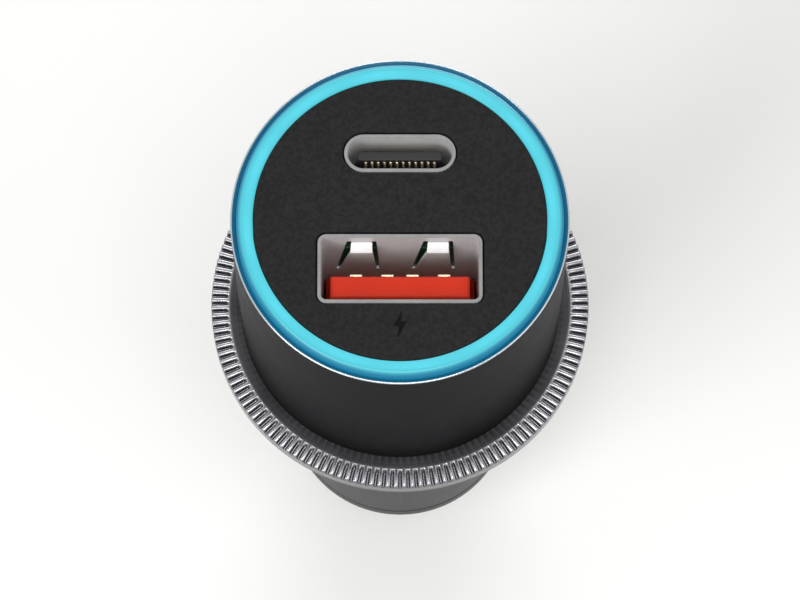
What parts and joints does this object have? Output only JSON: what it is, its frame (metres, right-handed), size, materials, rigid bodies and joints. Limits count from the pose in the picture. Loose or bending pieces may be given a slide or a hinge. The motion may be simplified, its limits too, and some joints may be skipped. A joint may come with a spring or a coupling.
{
  "type": "car usb charger plug",
  "caption": "Round car socket charger plug: a dark face with charging ports inside a lit ring, a fluted metal collar, and a barrel with a sprung tip and side contacts.",
  "frame": {"origin": "centre of the collar's underside, where it seats on the socket's rim", "axes": "+Z out of the socket towards the face, +X along the ports' long sides, -Y towards the picture's viewer"},
  "size_m": [0.032, 0.032, 0.069],
  "materials": {
    "barrel_black": "fine satin moulding",
    "collar_metal": "dark polished plating",
    "head_black": "black satin coat",
    "ring_cyan": "clear light guide, lit",
    "face_grey": "fine matte grain",
    "board_green": "solder mask",
    "lamp_white": "lamp package",
    "port_steel": "plated sheet",
    "tongue_red": "satin moulding",
    "tongue_black": "satin moulding",
    "contact_gold": "gold plating",
    "ferrite_grey": "pressed ferrite",
    "can_aluminium": "drawn can",
    "capacitor_tan": "ceramic and polymer blocks",
    "chip_black": "moulded package",
    "fuse_white": "ceramic body",
    "contact_nickel": "nickel plated strip",
    "tip_nickel": "turned and nickel plated",
    "spring_steel": "drawn wire"
  },
  "bodies": {
    "plug": {"barrel_housing": "barrel_black", "fluted_collar": "collar_metal", "head_shell": "head_black", "light_ring": "ring_cyan", "face_plate": "face_grey", "ring_board": "board_green", "ring_leds": "lamp_white", "usb_a_shell": "port_steel", "usb_a_tongue": "tongue_red", "usb_a_contacts": "contact_gold", "usb_c_shell": "port_steel", "usb_c_tongue": "tongue_black", "usb_c_contacts": "contact_gold", "main_board": "board_green", "port_board": "board_green", "board_link_pins": "contact_gold", "power_inductor": "ferrite_grey", "input_capacitor": "can_aluminium", "output_capacitor": "capacitor_tan", "controller_chip": "chip_black", "port_chip": "chip_black", "surge_diode": "chip_black", "fuse_chip": "fuse_white", "small_chips": "capacitor_tan", "tip_terminal": "contact_nickel", "tip_spring": "spring_steel"},
    "tip": {"tip_contact": "tip_nickel"},
    "side_left": {"side_contact_left": "contact_nickel"},
    "side_right": {"side_contact_right": "contact_nickel"}
  },
  "joints": [
    {"name": "tip_press", "type": "slide", "parent": "plug", "child": "tip", "axis": [0, 0, 1], "range_m": [0, 0.0025], "stiffness_N_per_m": 1500, "springref_m": -0.002, "deforming": ["tip_spring"]},
    {"name": "side_left_press", "type": "slide", "parent": "plug", "child": "side_left", "axis": [1, 0, 0], "range_m": [0, 0.00125], "stiffness_N_per_m": 2500, "springref_m": -0.0005},
    {"name": "side_right_press", "type": "slide", "parent": "plug", "child": "side_right", "axis": [-1, 0, 0], "range_m": [0, 0.00125], "stiffness_N_per_m": 2500, "springref_m": -0.0005}
  ]
}
